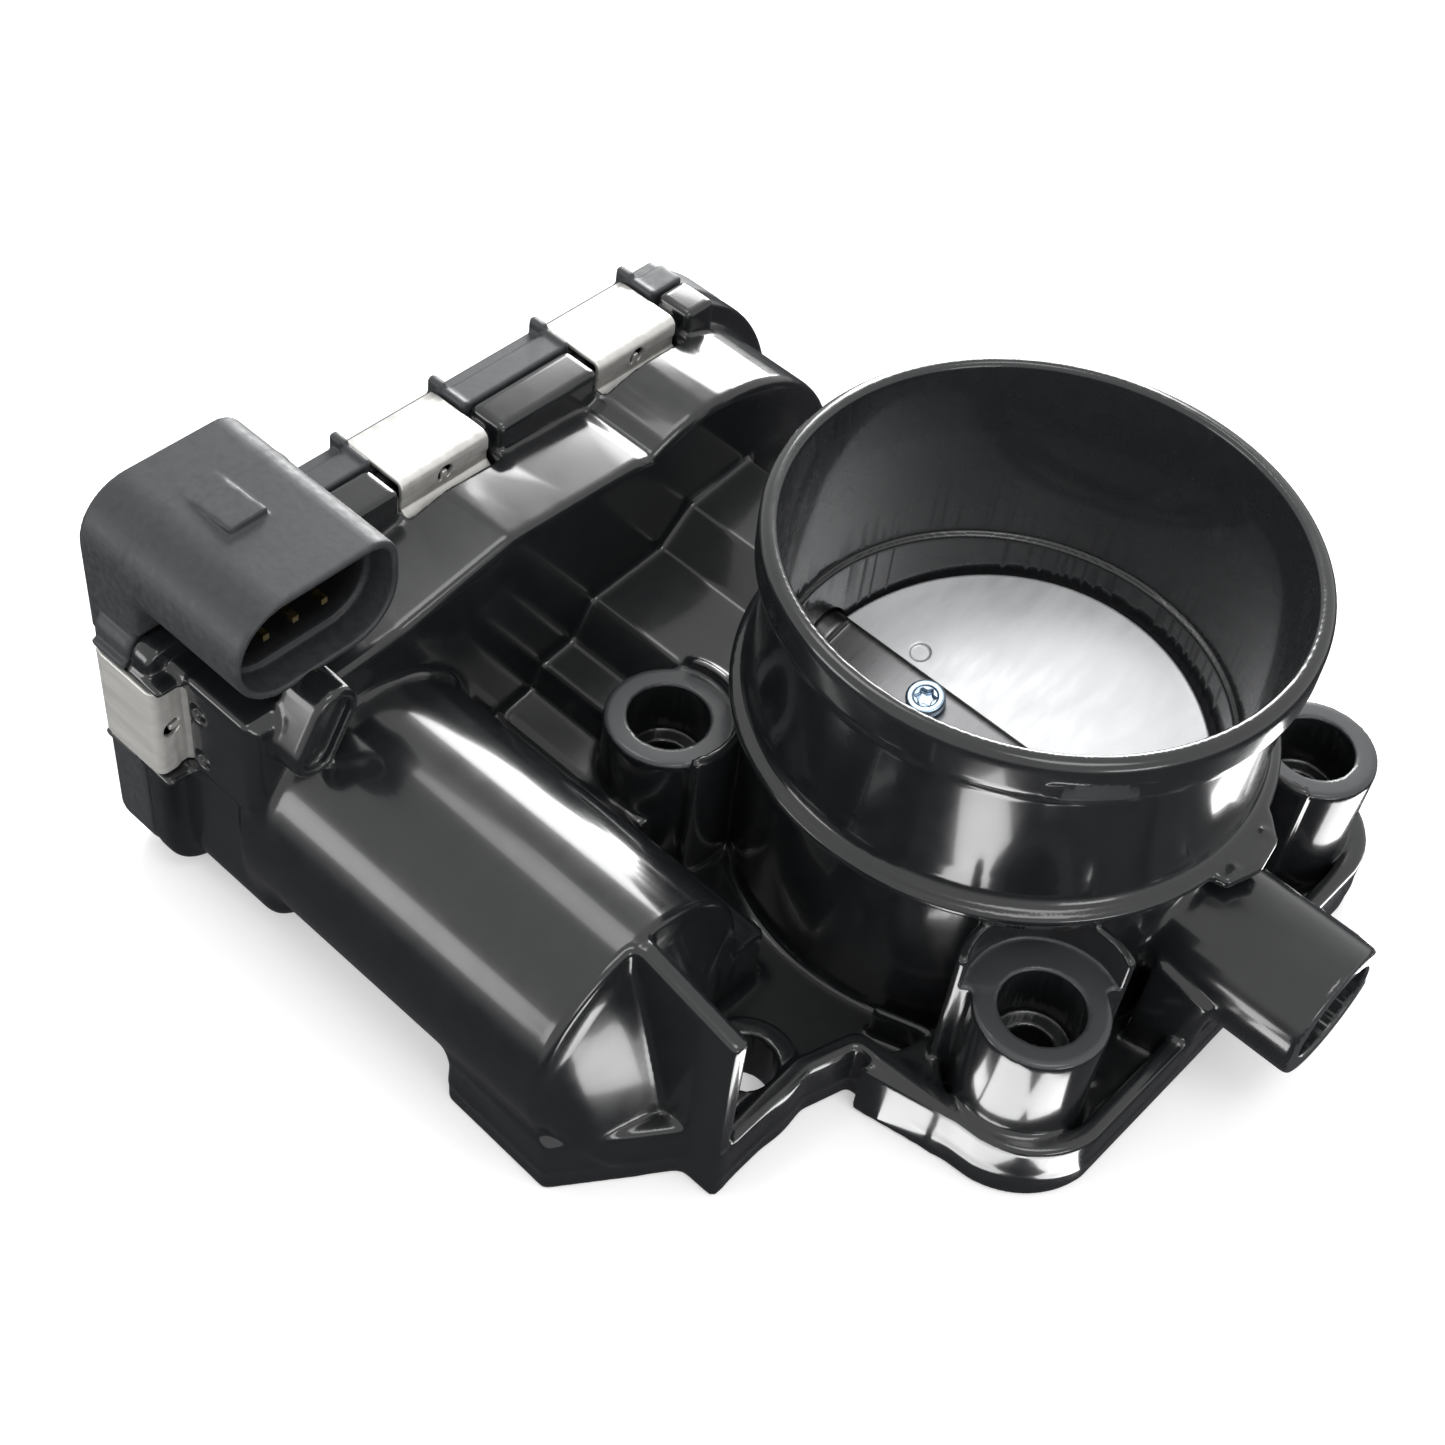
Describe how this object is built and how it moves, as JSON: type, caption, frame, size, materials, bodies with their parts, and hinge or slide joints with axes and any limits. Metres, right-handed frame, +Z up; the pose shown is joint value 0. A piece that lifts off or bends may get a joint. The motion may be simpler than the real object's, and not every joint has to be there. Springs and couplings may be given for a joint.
{
  "type": "throttle body",
  "caption": "Electronic throttle body: a black casting with a hose tube and butterfly plate, a side motor, and a gear cover with plug socket held by spring clips.",
  "frame": {"origin": "middle of the bottom of the bounding box, on the plane of the manifold face", "axes": "+Z up the air bore towards the hose, +X along the throttle shaft away from the gear case, the motor towards -Y"},
  "size_m": [0.1558, 0.1424, 0.0698],
  "materials": {
    "coated_casting": "gloss black coating on a die casting",
    "cover_plastic": "fine matte moulded dark grey",
    "clip_steel": "bright satin spring steel",
    "shaft_steel": "ground",
    "spring_steel": "drawn wire",
    "motor_steel": "plated sheet",
    "plate_aluminium": "satin, faint rolling marks",
    "screw_zinc": "blue zinc plate",
    "rubber": "matte",
    "gear_plastic": "natural glass-filled nylon",
    "brass": "bright",
    "ferrite": "sintered",
    "circuit_board": "solder mask"
  },
  "bodies": {
    "housing": {"throttle_housing": "coated_casting", "gear_cover": "cover_plastic", "plug_pin_1": "brass", "plug_pin_2": "brass", "plug_pin_3": "brass", "plug_pin_4": "brass", "plug_pin_5": "brass", "plug_pin_6": "brass", "cover_gasket": "rubber", "cover_clip_top_1": "clip_steel", "cover_clip_top_2": "clip_steel", "cover_clip_motor_side": "clip_steel", "cover_clip_round_end": "clip_steel", "shaft_bearing_gear_side": "shaft_steel", "shaft_bearing_far_side": "shaft_steel", "shaft_seal": "rubber", "bearing_end_plug": "shaft_steel", "second_gear_pin": "shaft_steel", "first_gear_pin": "shaft_steel", "return_spring": "spring_steel", "sensor_board": "circuit_board", "motor_body": "motor_steel", "motor_end_plate": "cover_plastic", "motor_screw_1": "screw_zinc", "motor_screw_2": "screw_zinc", "flange_seal": "rubber"},
    "throttle": {"throttle_shaft": "shaft_steel", "throttle_plate": "plate_aluminium", "plate_screw_1": "screw_zinc", "plate_screw_2": "screw_zinc", "sector_gear": "gear_plastic", "sensor_magnet": "ferrite"},
    "second_gear": {"second_gear": "gear_plastic"},
    "first_gear": {"first_gear": "gear_plastic"},
    "rotor": {"motor_shaft": "shaft_steel", "motor_pinion": "brass"}
  },
  "joints": [
    {"name": "throttle_turn", "type": "hinge", "parent": "housing", "child": "throttle", "pos_m": [0.0149, 0.02385, 0.022], "axis": [1, 0, 0], "range_deg": [-9, 76], "stiffness_Nm_per_rad": 0.4},
    {"name": "second_gear_turn", "type": "hinge", "parent": "housing", "child": "second_gear", "pos_m": [-0.0631, -0.00065, 0.02166], "axis": [1, 0, 0], "range_deg": [-180, 30]},
    {"name": "first_gear_turn", "type": "hinge", "parent": "housing", "child": "first_gear", "pos_m": [-0.0631, -0.02462, 0.02281], "axis": [1, 0, 0], "range_deg": [-60, 480]},
    {"name": "rotor_turn", "type": "hinge", "parent": "housing", "child": "rotor", "pos_m": [-0.0251, -0.04815, 0.021], "axis": [1, 0, 0], "range_deg": [-1530, 190]}
  ],
  "couplings": [
    {"joint": "second_gear_turn", "follows": "throttle_turn", "ratio": -2.2667},
    {"joint": "first_gear_turn", "follows": "throttle_turn", "ratio": 6.2333},
    {"joint": "rotor_turn", "follows": "throttle_turn", "ratio": -20.036}
  ]
}
